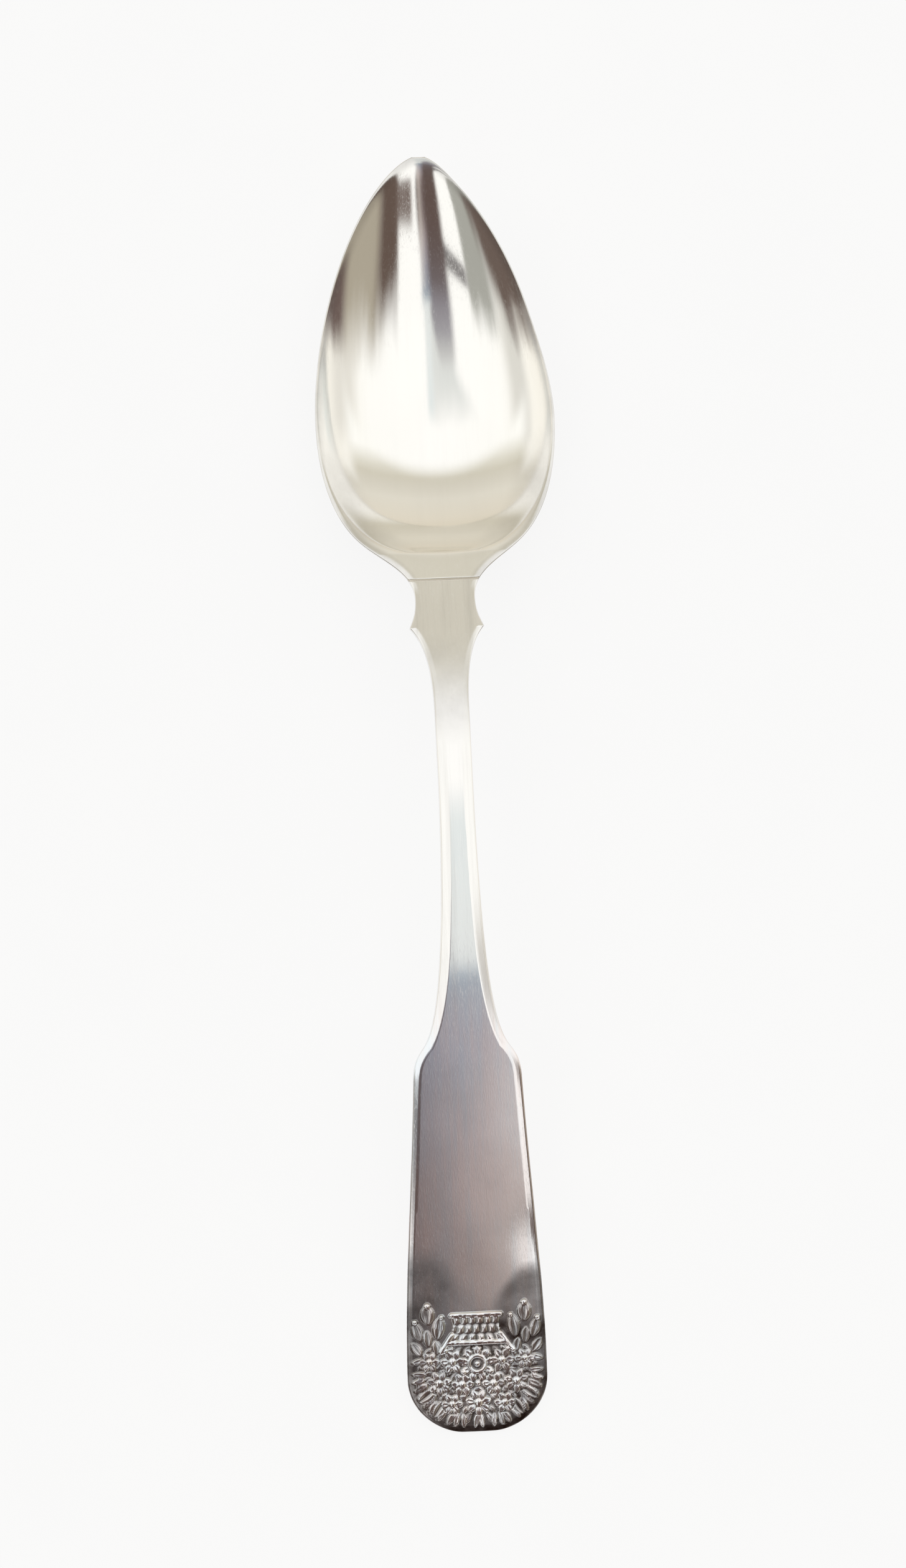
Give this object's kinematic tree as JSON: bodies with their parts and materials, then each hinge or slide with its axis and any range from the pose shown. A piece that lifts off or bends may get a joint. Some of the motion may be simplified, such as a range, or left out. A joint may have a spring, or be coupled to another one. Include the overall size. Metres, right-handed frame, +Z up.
{
  "type": "tablespoon",
  "caption": "Old silver fiddle-pattern tablespoon with a pointed oval bowl soldered to a forged handle, finned neck and a basket of flowers struck at the handle's end",
  "frame": {"origin": "on the table, under the middle of the spoon's length and width", "axes": "+Y from the handle's end to the bowl's tip, +Z up out of the bowl, +X to the right when the tip points away"},
  "size_m": [0.0418, 0.222, 0.0245],
  "materials": {
    "silver_bowl": "worn polished silver, lightly tarnished",
    "silver_handle": "worn polished silver, tarnish in the struck ornament",
    "silver_solder": "dull silver solder"
  },
  "bodies": {
    "root": {"bowl": "silver_bowl", "handle": "silver_handle", "solder_seam": "silver_solder"}
  },
  "joints": []
}
